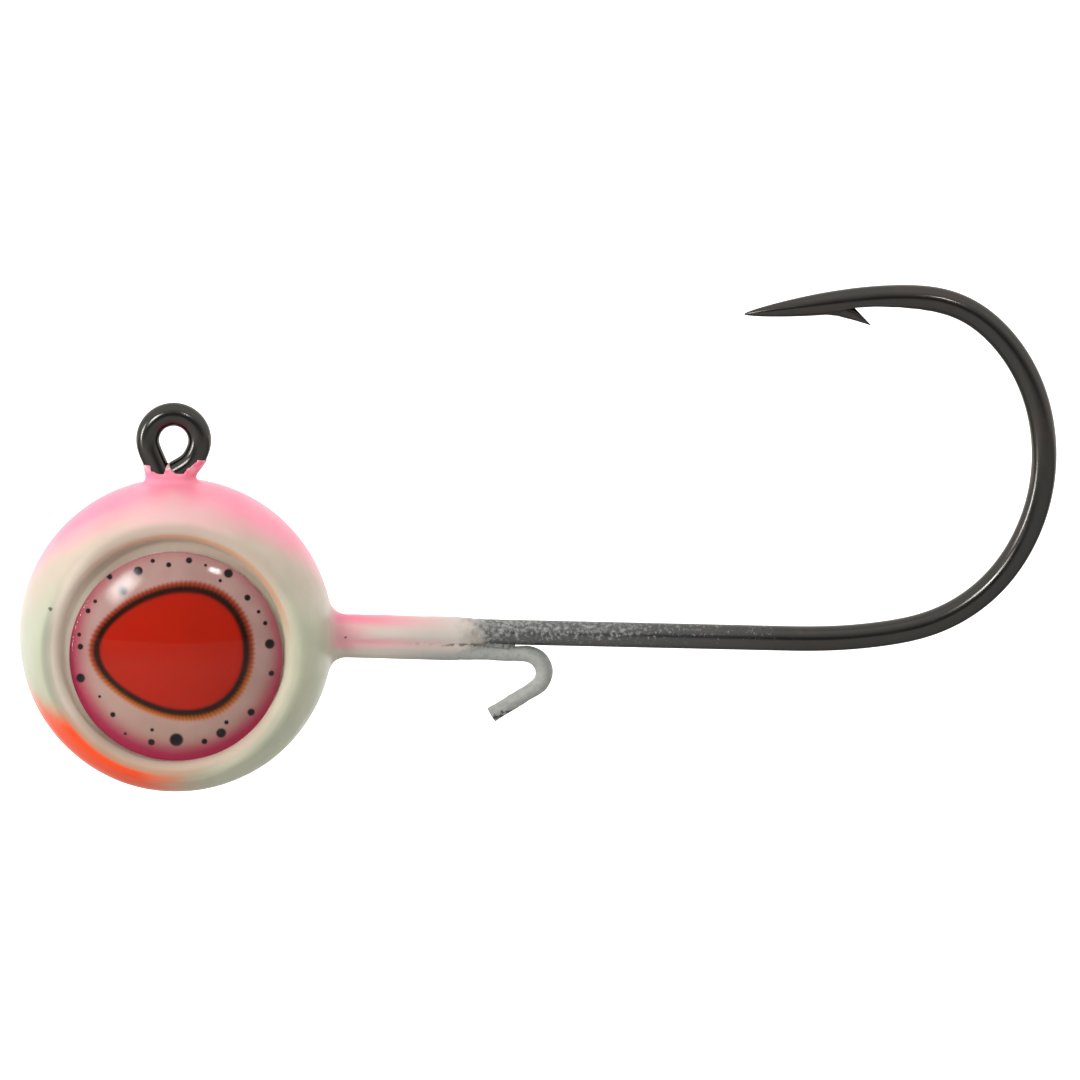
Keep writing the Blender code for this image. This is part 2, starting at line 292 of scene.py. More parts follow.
def smooth_step(value, low, high):
    share = np.clip((value - low) / (high - low), 0.0, 1.0)
    return share * share * (3.0 - 2.0 * share)


def hook_rings():
    """The hook's centreline, radius and reach on its inner side at each of its rings."""
    points, samples = hook_path()
    back = samples[-1] - samples
    thicken = smooth_step(samples, *THICKENING_SPAN)
    radii = LOOP_WIRE_RADIUS + (SHANK_WIRE_RADIUS - LOOP_WIRE_RADIUS) * thicken
    share = (back / POINT_LENGTH) ** POINT_FULLNESS
    radii = radii * share / (1.0 + share**8) ** 0.125
    ramp_start, deepest, ramp_end = NOTCH_SPAN
    notch = smooth_step(back, ramp_start, deepest) * (1.0 - smooth_step(back, deepest, ramp_end))
    radii = np.maximum(radii, POINT_TIP_RADIUS)
    inner = radii - NOTCH_DEPTH * notch
    regular = np.arange(0, len(points), round(RING_STEP / PATH_STEP))
    fine_tip = np.arange(len(points) - TIP_POINTS, len(points))
    keep = np.unique(np.concatenate([regular, fine_tip]))
    return points[keep], radii[keep], inner[keep]


def keeper_path():
    _, headings = headings_along(KEEPER_STEPS, KEEPER_HEADING, PATH_STEP)
    eased = smoothed(headings, KEEPER_EASING / PATH_STEP)
    return np.array(KEEPER_START) + walk(eased, PATH_STEP)


# ---- the coat's surface


def smooth_union(a, b, blend):
    """Two distance fields joined with a fillet about blend wide."""
    overlap = np.maximum(blend - np.abs(a - b), 0.0) / blend
    return np.minimum(a, b) - overlap * overlap * blend / 4.0


def rounded_overlap(a, b, radius):
    """What two distance fields share, with its edge rounded to radius."""
    corner = np.hypot(np.maximum(a + radius, 0.0), np.maximum(b + radius, 0.0))
    return np.minimum(-radius, np.maximum(a, b)) + corner


def path_distance(points, path):
    """Distance from 3-D points to a path in the XZ plane."""
    nearest = np.full(len(points), np.inf)
    flat = points[:, [0, 2]]
    for start, end in zip(path[:-1], path[1:]):
        step = end - start
        share = np.clip((flat - start) @ step / (step @ step), 0.0, 1.0)
        offset = flat - start - share[:, None] * step
        nearest = np.minimum(nearest, np.einsum("ij,ij->i", offset, offset))
    return np.sqrt(nearest + points[:, 1] ** 2)


def lumps(points, size):
    """A slow random-looking swell between about -1 and 1, from a few crossing waves."""
    total = np.zeros(len(points))
    for turn in range(6):
        tilt = 0.9 * turn + 0.4
        lean = 1.7 * turn
        wave = np.array(
            [math.cos(tilt) * math.cos(lean), math.sin(lean), math.sin(tilt) * math.cos(lean)]
        )
        total += np.sin(points @ wave * (2.0 * math.pi / (size * (1.0 + 0.23 * turn))) + 2.1 * turn)
    return total / 3.0


HOOK_POINTS, HOOK_RADII, HOOK_INNER = hook_rings()
KEEPER_POINTS = keeper_path()
HOOK_X, HOOK_Z = HOOK_POINTS.T
# The two ends of each wire's straight run in the sleeve, and the wire in the neck and line eye
SHANK_LINE = HOOK_POINTS[(HOOK_Z < -6.0) & (np.abs(HOOK_X - 9.5) < 6.0)][[0, -1]]
KEEPER_LINE = KEEPER_POINTS[[0, round(6.0 / PATH_STEP)]]
LOOP_LINE = HOOK_POINTS[(HOOK_Z > -2.8) & (HOOK_X < 3.0)][::2]


def ball_distance(points):
    """The coated ball with its sockets and rolled lips."""
    local = points - BALL_CENTRE
    radius = np.hypot(local[:, 0], local[:, 2])
    height = np.abs(local[:, 1])
    ball = np.linalg.norm(local, axis=1) - BALL_RADIUS
    outside_socket = smooth_union(SOCKET_RADIUS - radius, height - SOCKET_FLOOR, SOCKET_FILLET)
    lip_radius, lip_height = LIP_CENTRE
    on_lip = (height > lip_height) & (radius * lip_height < height * lip_radius)
    lip = np.hypot(radius - lip_radius, height - lip_height) - LIP_ROUNDING
    distance = np.where(on_lip, lip, np.maximum(ball, outside_socket))
    near_lip = np.exp(-(((radius - lip_radius) / 0.8) ** 2))
    waviness = 0.03 * lumps(points, 3.1) + 0.012 * lumps(points + 7.0, 0.8)
    return distance + 0.010 * lumps(points, 5.0) + near_lip * waviness


def line_height(line, x):
    """Height at x of an endless line through two points of the XZ plane."""
    (x0, z0), (x1, z1) = line
    return z0 + (z1 - z0) * (x - x0) / (x1 - x0)


def line_distance(points, line):
    """Distance to an endless line through two points of the XZ plane."""
    step = (line[1] - line[0]) / np.linalg.norm(line[1] - line[0])
    flat = points[:, [0, 2]] - line[0]
    return np.hypot(flat[:, 0] * step[1] - flat[:, 1] * step[0], points[:, 1])


def web_distance(points):
    """The paint that fills the slit between the shank and the keeper."""
    x, y, z = points.T
    web = np.maximum(z - line_height(SHANK_LINE, x), line_height(KEEPER_LINE, x) - z)
    web = np.maximum(web, np.abs(y) - WEB_HALF_WIDTH - 0.04 * lumps(points, 0.5))
    return np.maximum(web, x - WEB_END - 0.2 * lumps(points, 0.4))


def sleeve_distance(points):
    """The film of paint that runs out along the shank and the keeper."""
    x = points[:, 0]
    film = SLEEVE_THICKNESS * (1.0 - smooth_step(x, *SLEEVE_FADE))
    film = film + 0.012 * lumps(points, 0.9) - 0.012
    film = film + 0.02 * lumps(points, 0.42) * smooth_step(x, 9.6, 11.2)
    shank = line_distance(points, SHANK_LINE) - SHANK_WIRE_RADIUS - film
    keeper = line_distance(points, KEEPER_LINE) - KEEPER_RADIUS
    keeper = keeper - 0.035 + 0.12 * smooth_step(x, 10.4, 12.0)
    both = smooth_union(shank, keeper, 0.36)
    start, end = SLEEVE_SPAN
    both = np.maximum(both, np.maximum(start - x, x - end))
    return smooth_union(both, web_distance(points), 0.12)


def neck_distance(points):
    """Paint drawn up round the line eye's limbs, ending in an uneven edge."""
    film = path_distance(points, LOOP_LINE) - LOOP_WIRE_RADIUS - NECK_FILM
    reach = np.interp(points[:, 2], *zip(NECK_BASE, NECK_TOP))
    cone = np.hypot(points[:, 0] - NECK_MIDDLE, points[:, 1] / NECK_FLATTENING) - reach
    cone = np.maximum(cone * NECK_FLATTENING, points[:, 2] - NECK_TOP[0])
    paint = smooth_union(film, cone, 0.12)
    edge_x, edge_z = np.array(NECK_EDGE).T
    above_edge = (points[:, 2] - np.interp(points[:, 0], edge_x, edge_z)) * 0.6
    return rounded_overlap(paint, above_edge, 0.05)


def coat_distance(points):
    """Distance to the paint's outside, negative inside it."""
    distance = ball_distance(points)
    near_sleeve = points[:, 0] > 4.0
    sleeve = sleeve_distance(points[near_sleeve])
    distance[near_sleeve] = smooth_union(distance[near_sleeve], sleeve, BALL_FILLET)
    near_neck = (points[:, 2] > -2.6) & (np.abs(points[:, 0]) < 2.5)
    neck = neck_distance(points[near_neck])
    distance[near_neck] = smooth_union(distance[near_neck], neck, 0.22)
    return distance


def sampled_field(distance, low, high, step):
    """A distance field on a grid: exact near the surface, coarse elsewhere."""
    counts = np.ceil((high - low) / (step * COARSE_STEPS)).astype(int) + 1
    axes = [low[i] + np.arange(counts[i]) * step * COARSE_STEPS for i in range(3)]
    nodes = np.stack(np.meshgrid(*axes, indexing="ij"), axis=-1).reshape(-1, 3)
    field = distance(nodes).reshape(counts)
    for axis in range(3):
        field = np.repeat(field, COARSE_STEPS, axis=axis)
    near = np.argwhere(np.abs(field) < 2.2 * step * COARSE_STEPS)
    field[tuple(near.T)] = distance(low + near * step)
    return field


def surface_net(field, low, step):
    """Vertices and quads on a sampled field's zero level."""
    inside = field < 0.0
    cells = np.zeros(np.array(field.shape) - 1, bool)
    corners = [(i, j, k) for i in (0, 1) for j in (0, 1) for k in (0, 1)]
    windows = {
        c: tuple(slice(c[a], field.shape[a] - 1 + c[a]) for a in range(3)) for c in corners
    }
    first = inside[windows[(0, 0, 0)]]
    for corner in corners[1:]:
        cells |= inside[windows[corner]] != first
    active = np.argwhere(cells)
    number = np.full(cells.shape, -1)
    number[tuple(active.T)] = np.arange(len(active))
    total = np.zeros((len(active), 3))
    crossings = np.zeros(len(active))
    unit = np.eye(3, dtype=int)
    for axis in range(3):
        for corner in corners:
            if corner[axis]:
                continue
            start = active + corner
            end = start + unit[axis]
            a, b = field[tuple(start.T)], field[tuple(end.T)]
            crosses = (a < 0.0) != (b < 0.0)
            share = np.where(crosses, a / np.where(crosses, a - b, 1.0), 0.0)
            point = start + share[:, None] * unit[axis]
            total += np.where(crosses[:, None], point, 0.0)
            crossings += crosses
    vertices = low + total / crossings[:, None] * step
    quads = []
    for axis in range(3):
        u, v = (axis + 1) % 3, (axis + 2) % 3
        ahead = tuple(slice(1 if a == axis else 0, None) for a in range(3))
        behind = tuple(slice(None, -1 if a == axis else None) for a in range(3))
        changed = np.argwhere(inside[ahead] != inside[behind])
        inner = (changed[:, u] > 0) & (changed[:, v] > 0)
        inner &= (changed[:, u] < cells.shape[u]) & (changed[:, v] < cells.shape[v])
        changed = changed[inner]
        ring = [changed - unit[u] - unit[v], changed - unit[v], changed, changed - unit[u]]
        quad = np.stack([number[tuple(cell.T)] for cell in ring], axis=1)
        outward = inside[tuple(changed.T)]
        quads.append(np.where(outward[:, None], quad, quad[:, ::-1]))
    return vertices, np.concatenate(quads)


def settle(vertices, distance, rounds=4, probe=0.004):
    """Move vertices onto a distance field's zero level along its slope."""
    for _ in range(rounds):
        value = distance(vertices)
        slope = np.zeros_like(vertices)
        for axis in range(3):
            offset = np.eye(3)[axis] * probe
            rise = distance(vertices + offset) - distance(vertices - offset)
            slope[:, axis] = rise / (2 * probe)
        squared = np.maximum(np.einsum("ij,ij->i", slope, slope), 0.05)
        vertices = vertices - np.clip(value / squared, -0.05, 0.05)[:, None] * slope
    return vertices


def make_coat(material):
    low = coat_low - np.array([0.3, 0.4, 0.3])
    high = np.array([coat_high[0] + 0.9, coat_high[1] + 0.4, COAT_TOP])
    field = sampled_field(coat_distance, low, high, COAT_GRID)
    vertices, quads = surface_net(field, low, COAT_GRID)
    vertices = settle(vertices, coat_distance)
    return add_piece(mesh_piece("coat", vertices, quads, material), "coat", "powder_coat")


# ---- wires and eyes


def barb_mesh():
    """The barb, a blade raised from the point's inner side, lofted from root to tip."""
    tip = HOOK_POINTS[-1]
    back = HOOK_POINTS[-30] - tip
    back /= np.linalg.norm(back)
    up = np.array([-back[1], back[0]])
    knots = np.linspace(0.0, 1.0, len(BARB_LOWER))
    angles = np.linspace(0.0, 2.0 * math.pi, BARB_SIDES, endpoint=False)
    rings = []
    for share in np.linspace(0.0, 1.0, BARB_RINGS):
        bottom = np.array([np.interp(share, knots, column) for column in zip(*BARB_LOWER)])
        top = np.array([np.interp(share, knots, column) for column in zip(*BARB_UPPER)])
        width = np.interp(share, knots, BARB_HALF_WIDTHS)
        middle, reach = (bottom + top) / 2, (top - bottom) / 2
        local = middle + reach * np.cos(angles)[:, None]
        flat = tip + local[:, :1] * back + local[:, 1:] * up
        rings.append(np.column_stack([flat[:, 0], width * np.sin(angles), flat[:, 1]]))
    return np.concatenate(rings), tube_faces(BARB_RINGS, BARB_SIDES)


def outward(piece):
    """Turn a closed piece's faces outwards."""
    shape = bmesh.new()
    shape.from_mesh(piece.data)
    bmesh.ops.recalc_face_normals(shape, faces=shape.faces)
    shape.to_mesh(piece.data)
    shape.free()
    return piece


def join_solids(piece, other):
    """Unite two closed pieces into one skin."""
    modifier = piece.modifiers.new("Join", "BOOLEAN")
    modifier.operation = "UNION"
    modifier.object = other
    bpy.context.view_layer.update()
    evaluated = piece.evaluated_get(bpy.context.evaluated_depsgraph_get())
    mesh = bpy.data.meshes.new_from_object(evaluated)
    piece.modifiers.clear()
    piece.data = mesh
    bpy.data.objects.remove(other, do_unlink=True)
    return piece


def soften_caps(piece, angle):
    """Keep edges sharper than angle crisp under smooth shading."""
    piece.data.shade_smooth()
    piece.data.set_sharp_from_angle(angle=math.radians(angle))
    return piece


def make_hook(material):
    vertices, faces = swept_wire(HOOK_POINTS, HOOK_RADII, WIRE_SIDES, HOOK_INNER)
    hook = outward(mesh_piece("fish_hook", vertices, faces, material))
    barb = outward(mesh_piece("barb", *barb_mesh(), material))
    hook = soften_caps(join_solids(hook, barb), 50.0)
    return add_piece(hook, "hook_wire", "hook")


def make_keeper(material):
    points = KEEPER_POINTS[::KEEPER_STRIDE]
    along = np.arange(len(points)) * KEEPER_STRIDE * PATH_STEP
    radii = KEEPER_RADIUS + KEEPER_BUILD_UP * np.exp(-((along - KEEPER_BEND) ** 2))
    vertices, faces = swept_wire(points, radii, WIRE_SIDES)
    centre = np.repeat(points, WIRE_SIDES, axis=0)
    spokes = vertices - np.column_stack([centre[:, 0], np.zeros(len(centre)), centre[:, 1]])
    swell = 1.0 + 0.05 * lumps(vertices, 1.3) + 0.03 * lumps(vertices + 5.0, 0.45)
    vertices = vertices - spokes + spokes * swell[:, None]
    keeper = soften_caps(outward(mesh_piece("bait_keeper", vertices, faces, material)), 50.0)
    return add_piece(keeper, "keeper_wire", "keeper_wire")


def eye_place(side):
    """Middle of an eye's back, its radius and the direction that it faces along Y."""
    low, high = node_box(f"eye_film_{side}")
    facing = -1.0 if side == "left" else 1.0
    back = high[1] if side == "left" else low[1]
    centre = np.array([(low[0] + high[0]) / 2, back, (low[2] + high[2]) / 2 - EYE_DROP])
    return centre, (high[0] - low[0]) / 2 + EYE_SPREAD, facing


def turned_piece(name, profile, centre, facing, material):
    """A turned piece whose axis points along Y, the way that it faces."""
    vertices, faces = turned_mesh(profile, EYE_SEGMENTS)
    placed = np.column_stack([vertices[:, 0], vertices[:, 2] * facing, vertices[:, 1]]) + centre
    return outward(mesh_piece(name, placed, faces, material))


def film_profile(radius, thickness):
    """A thin disc with a slightly worn edge."""
    return [
        (AXIS_RADIUS, 0.0),
        (radius - FILM_EDGE, 0.0),
        (radius, FILM_EDGE),
        (radius, thickness - FILM_EDGE),
        (radius - FILM_EDGE, thickness),
        (AXIS_RADIUS, thickness),
    ]


def dome_profile(radius, base, height):
    """A drop of clear resin: a cap of a sphere that turns down over its rim."""
    rise = height - base - RESIN_EDGE
    sphere = (radius**2 + rise**2) / (2.0 * rise)
    rows = [(AXIS_RADIUS, base), (radius - FILM_EDGE, base)]
    rows += [(radius, base + FILM_EDGE), (radius, base + 0.08)]
    for share in np.linspace(0.995, 0.0, 40):
        cap = math.sqrt(sphere**2 - (radius * share) ** 2) - (sphere - rise)
        rows.append((max(radius * share, AXIS_RADIUS), base + RESIN_EDGE + cap))
    return rows


def make_eye(side, film_material, dome_material):
    centre, radius, facing = eye_place(side)
    film_low, film_high = node_box(f"eye_film_{side}")
    dome_low, dome_high = node_box(f"eye_dome_{side}")
    thickness = film_high[1] - film_low[1]
    height = dome_high[1] - film_low[1] if side == "right" else film_high[1] - dome_low[1]
    profile = film_profile(radius - FILM_INSET, thickness)
    film = turned_piece(f"eye_print_{side}", profile, centre, facing, film_material)
    add_piece(soften_caps(film, 50.0), "eye_film", f"eye_film_{side}")
    profile = dome_profile(radius, thickness - RESIN_OVERLAP, height)
    dome = turned_piece(f"eye_resin_{side}", profile, centre, facing, dome_material)
    add_piece(soften_caps(dome, 60.0), "eye_dome", f"eye_dome_{side}")


# ---- materials


class Graph:
    """A node tree. Each method adds a node and returns its output."""

    def __init__(self, tree):
        self.tree = tree

    def add(self, kind, inputs, output=0, **settings):
        node = self.tree.nodes.new(kind)
        for name, value in settings.items():
            setattr(node, name, value)
        for key, value in inputs.items():
            self.feed(node.inputs[key], value)
        return node.outputs[output]

    def feed(self, socket, value):
        if isinstance(value, bpy.types.NodeSocket):
            self.tree.links.new(value, socket)
        else:
            socket.default_value = value

    def vector(self, operation, a, b=None, scale=None, output=0):
        inputs = {0: a}
        if b is not None:
            inputs[1] = b
        if scale is not None:
            inputs["Scale"] = scale
        return self.add("ShaderNodeVectorMath", inputs, output, operation=operation)

    def distance(self, a, b):
        return self.vector("DISTANCE", a, b, output="Value")

    def split(self, vector):
        node = self.add("ShaderNodeSeparateXYZ", {0: vector}).node
        return node.outputs[0], node.outputs[1], node.outputs[2]

    def join(self, x, y, z):
        return self.add("ShaderNodeCombineXYZ", {0: x, 1: y, 2: z})

    def math(self, operation, *values):
        """One maths node, or a chain of them where there are more than two values."""
        if len(values) == 1:
            return self.add("ShaderNodeMath", {0: values[0]}, operation=operation)
        return functools.reduce(
            lambda a, b: self.add("ShaderNodeMath", {0: a, 1: b}, operation=operation), values
        )

    def times(self, *values):
        return self.math("MULTIPLY", *values)

    def plus(self, *values):
        return self.math("ADD", *values)

    def most(self, *values):
        return self.math("MAXIMUM", *values)

    def minus(self, a, b):
        return self.math("SUBTRACT", a, b)

    def size(self, value):
        return self.math("ABSOLUTE", value)

    def fade(self, value, low, high, start=0.0, end=1.0):
        """From start at low to end at high, with soft ends. Low may be the larger one."""
        inputs = {"Value": value, "From Min": low, "From Max": high, "To Min": start, "To Max": end}
        return self.add("ShaderNodeMapRange", inputs, interpolation_type="SMOOTHSTEP")

    def band(self, value, middle, outer, inner):
        """1 within inner of middle, 0 beyond outer."""
        return self.fade(self.math("ABSOLUTE", self.minus(value, middle)), outer, inner)

    def mix(self, factor, a, b):
        inputs = {0: factor, 6: as_colour(a), 7: as_colour(b)}
        return self.add("ShaderNodeMix", inputs, 2, data_type="RGBA")


class Surface(Graph):
    """A material. Its place is the surface's, in the CAD frame's millimetres."""

    def __init__(self, name):
        self.material = bpy.data.materials.new(name)
        self.material.use_nodes = True
        super().__init__(self.material.node_tree)
        self.shader = self.tree.nodes["Principled BSDF"]
        coordinates = self.add("ShaderNodeTexCoord", {}, "Object")
        self.place = self.vector("SCALE", coordinates, scale=1.0 / MM)

    def noise(self, size, detail=2.0, roughness=0.5, vector=None):
        """Cloudy noise around 0.5, with features about size millimetres across."""
        inputs = {"Vector": vector or self.place, "Scale": 1.0 / size, "Detail": detail}
        return self.add("ShaderNodeTexNoise", {**inputs, "Roughness": roughness}, "Fac")

    def bump(self, height, depth):
        """A normal from a height between 0 and 1, depth millimetres deep."""
        inputs = {"Strength": 1.0, "Distance": depth * MM, "Height": height}
        return self.add("ShaderNodeBump", inputs)

    def set(self, **inputs):
        for name, value in inputs.items():
            self.feed(self.shader.inputs[name.replace("_", " ")], value)


def as_colour(value):
    return (*value, 1.0) if isinstance(value, tuple) and len(value) == 3 else value


IVORY = (0.59, 0.585, 0.43)
IVORY_MOTTLE_AND_PAINTED_SHADE = (0.515, 0.525, 0.385)
SOCKET_PAINTED_SHADE = (0.58, 0.46, 0.365)
FRONT_WALL_PAINTED_LIGHT = (0.86, 0.75, 0.62)
STEP_TAN = (0.66, 0.34, 0.20)
CREST_PAINTED_SHADE = (0.05, 0.045, 0.04)
PINK = (1.0, 0.30, 0.395)
LILAC = (1.0, 0.325, 0.445)
DEEP_PINK = (0.98, 0.22, 0.34)
BLUSH = (1.0, 0.50, 0.56)
NECK_PAINTED_HIGHLIGHT_PINK = (0.90, 0.60, 0.60)
ORANGE = (0.98, 0.09, 0.02)
OCHRE = (0.64, 0.28, 0.14)
SLEEVE_BEIGE = (0.70, 0.62, 0.545)
SLEEVE_UNDERSIDE_PAINTED_SHADE = (0.47, 0.42, 0.355)
SLEEVE_CREAM_PAINTED_LIGHT = (0.84, 0.71, 0.63)
SEAM_BROWN = (0.10, 0.085, 0.07)
BARE_METAL = (0.11, 0.11, 0.105)
BARE_SPECKS = (0.30, 0.31, 0.29)
FLAW_BLACK = (0.05, 0.05, 0.045)
NICKEL = (0.072, 0.071, 0.065)
WARM_NICKEL = (0.082, 0.072, 0.067)
HAZY_NICKEL = (0.20, 0.205, 0.20)
SHANK_POWDER = (0.33, 0.34, 0.32)
KEEPER_POWDER = (0.375, 0.38, 0.345)
KEEPER_GREY = (0.30, 0.315, 0.29)
KEEPER_STAIN = (0.06, 0.06, 0.06)

PAINT_FLAWS = ((-4.49, -5.90, 0.07), (6.58, -7.55, 0.04))  # x, z, radius
SHANK_DEPTH = 7.12  # of the shank's middle line below the line eye, carried on to x = 0
SHANK_FALL = math.tan(math.radians(1.3))


def above_shank(graph, x, z):
    """Height over a line that falls away with the shank."""
    return graph.plus(z, graph.times(x, SHANK_FALL))


def ball_pink(graph, x, y, z):
    """Airbrushed pink over the top of the ball: more along its ridge than on its sides."""
    ridge = graph.minus(z, graph.times(graph.size(y), 0.50))
    ridge = graph.plus(ridge, graph.times(graph.noise(1.6, 3.0), 0.8))
    ridge = graph.plus(ridge, graph.times(graph.size(x), 0.40))
    faint = graph.times(graph.fade(ridge, 1.9, 3.8), 0.15)
    full = graph.times(graph.fade(ridge, 3.9, 6.1), 0.9)
    return graph.times(graph.plus(faint, full), graph.fade(x, 6.8, 5.8))


def sleeve_pink(graph, x, rise):
    """Pink overspray along the sleeve's top edge and its seam, fading away from the ball."""
    top = graph.fade(rise, 0.42, 0.88)
    seam = graph.times(graph.band(rise, -0.02, 0.30, 0.03), 0.65)
    near = graph.times(graph.fade(rise, -0.45, -0.10), graph.fade(x, 8.0, 6.4), 0.6)
    along = graph.times(graph.fade(x, 5.7, 6.3), graph.fade(x, 11.4, 6.6))
    return graph.times(graph.most(top, seam, near), along)


def chin_orange(graph, x, z, radius):
    """Orange sprayed under the chin, as far in as the crests of the lips, and its haze."""
    turn = graph.times(graph.math("ARCTAN2", z, x), 180.0 / math.pi)
    turn = graph.plus(turn, graph.times(graph.noise(0.9, 3.0), 8.0))
    started = graph.minus(turn, graph.times(graph.minus(BALL_RADIUS, radius), 12.0))
    patch = graph.times(graph.fade(started, -166.0, -148.0), graph.fade(turn, -76.0, -104.0),
                        graph.fade(radius, 4.66, 4.86))
    haze = graph.times(graph.fade(started, -170.0, -154.0), graph.fade(turn, -62.0, -96.0),
                       graph.fade(radius, 4.3, 4.7))
    return patch, haze


def paint_flaws(graph):
    """Small dark flaws in the paint, on the left side."""
    total = 0.0
    x, y, z = graph.split(graph.place)
    flat = graph.join(x, 0.0, z)
    rough = graph.times(graph.noise(0.12, 2.0), 0.16)
    for spot_x, spot_z, radius in PAINT_FLAWS:
        reach = graph.plus(graph.distance(flat, (spot_x, 0.0, spot_z)), rough)
        total = graph.most(total, graph.fade(reach, radius + 0.11, radius + 0.05))
    return graph.times(total, graph.fade(y, 0.0, -0.3))


def unsprayed_coat(graph, x, rise):
    """Mottled ivory with painted shade on its left; the sleeve's beige, with cream painted light by
    the ball and taupe painted shade beneath.
    """
    # darker ivory at random, and painted shade over the whole left side of the ball
    mottle_and_painted_shade = graph.most(graph.fade(graph.noise(2.2, 4.0), 0.35, 0.7), graph.fade(x, -2.5, -5.5))
    colour = graph.mix(mottle_and_painted_shade, IVORY, IVORY_MOTTLE_AND_PAINTED_SHADE)
    # cream by the ball is painted light, lifting the sleeve where it lies in shade
    colour = graph.mix(graph.fade(x, 5.6, 6.8), colour, SLEEVE_CREAM_PAINTED_LIGHT)
    colour = graph.mix(graph.fade(x, 7.6, 10.2), colour, SLEEVE_BEIGE)
    # taupe under the sleeve is painted shade on its underside
    below = graph.times(graph.fade(rise, 0.0, -0.35), graph.fade(x, 5.8, 6.8), 0.65)
    return graph.mix(below, colour, SLEEVE_UNDERSIDE_PAINTED_SHADE)


def spray_pink(graph, colour, place, radius, rise):
    """Pink from above, palest over the eyes and deepest on the ridge and the neck, with painted
    shade on the skyline and a pale pink painted highlight on the neck's top.
    """
    x, y, z = place
    shade = graph.mix(graph.fade(graph.noise(3.0), 0.35, 0.65), PINK, LILAC)
    # deeper pink along the skyline is painted shade, set against the sheen at the ball's edge
    skyline_painted_shade = graph.times(graph.fade(radius, 5.6, 6.0), graph.fade(z, 3.0, 4.5),
                          graph.fade(graph.size(x), 0.8, 1.8), graph.fade(x, 3.0, 2.2), 0.8)
    shade = graph.mix(skyline_painted_shade, shade, DEEP_PINK)
    shade = graph.mix(graph.fade(z, 6.0, 6.5), shade, DEEP_PINK)
    pink = graph.most(ball_pink(graph, x, y, z), sleeve_pink(graph, x, rise))
    colour = graph.mix(pink, colour, shade)
    brow = graph.times(graph.fade(z, 3.7, 4.8), graph.fade(z, 6.0, 5.3),
                       graph.fade(x, -2.4, -0.6), graph.fade(x, 3.0, 0.8), 0.5)
    colour = graph.mix(brow, colour, BLUSH)
    # pale pink flecks along the neck's top are a painted highlight
    neck_painted_highlight = graph.times(graph.fade(z, 6.15, 6.6),
                         graph.fade(graph.noise(0.3, 2.0), 0.32, 0.56), 0.8)
    return graph.mix(neck_painted_highlight, colour, NECK_PAINTED_HIGHLIGHT_PINK)


def tint_sockets(graph, colour, place, radius):
    """Taupe painted shade in the eye sockets, cream painted light on their front walls, a tan line
    on the top step and painted shade on the lower crests.
    """
    x, y, z = place
    # taupe over the sockets is painted shade, deepest at top and bottom, reaching out under the top
    # lip as a painted shadow
    depth = graph.minus(radius, graph.times(graph.fade(z, 0.5, 4.0), 0.25))
    inside = graph.times(graph.fade(depth, 4.84, 4.55), graph.fade(graph.size(y), 2.2, 2.6))
    share = graph.plus(graph.times(graph.fade(graph.size(z), 1.5, 4.0), 0.55), 0.30)
    colour = graph.mix(graph.times(inside, share), colour, SOCKET_PAINTED_SHADE)
    # cream on the front walls of the sockets is painted light
    front_wall_painted_light = graph.times(inside, graph.fade(x, -2.5, -4.2), 0.8)
    colour = graph.mix(front_wall_painted_light, colour, FRONT_WALL_PAINTED_LIGHT)
    upper_step = graph.times(graph.band(radius, 4.44, 0.15, 0.04),
                             graph.fade(z, 0.0, 2.0), graph.fade(x, -5.0, 0.5), 0.85)
    colour = graph.mix(upper_step, colour, STEP_TAN)
    # darker paint on the lower crests of the lips is painted shade
    lower_crest_painted_shade = graph.times(graph.band(radius, 4.78, 0.28, 0.10),
                              graph.fade(graph.plus(x, z), -2.0, -4.4), 0.25)
    return graph.mix(lower_crest_painted_shade, colour, CREST_PAINTED_SHADE)


def wear_sleeve(graph, colour, x, rise):
    """The sleeve's ragged end, the powder and grey along its keeper, and its dark seam."""
    speckle = graph.noise(0.15, 3.0, 0.7)
    ragged = graph.plus(x, graph.times(graph.noise(0.5, 3.0), 1.6))
    worn = graph.times(graph.fade(ragged, 11.4, 12.9), graph.fade(rise, -0.50, -0.20))
    bare = graph.mix(graph.fade(speckle, 0.36, 0.66), BARE_METAL, BARE_SPECKS)
    colour = graph.mix(worn, colour, bare)
    dust = graph.times(graph.fade(rise, -0.2, -0.5), graph.fade(x, 7.5, 10.5), 0.8)
    colour = graph.mix(dust, colour, KEEPER_POWDER)
    grey = graph.times(graph.fade(rise, -0.3, -0.7), graph.fade(x, 8.0, 11.0),
                       graph.fade(graph.noise(0.35, 5.0, 0.7), 0.42, 0.62), 0.8)
    colour = graph.mix(grey, colour, KEEPER_GREY)
    seam = graph.times(graph.band(rise, -0.05, 0.11, 0.03), graph.fade(x, 8.4, 10.6),
                       graph.fade(graph.noise(0.2, 3.0), 0.45, 0.62), 0.75)
    return graph.mix(seam, colour, SEAM_BROWN)


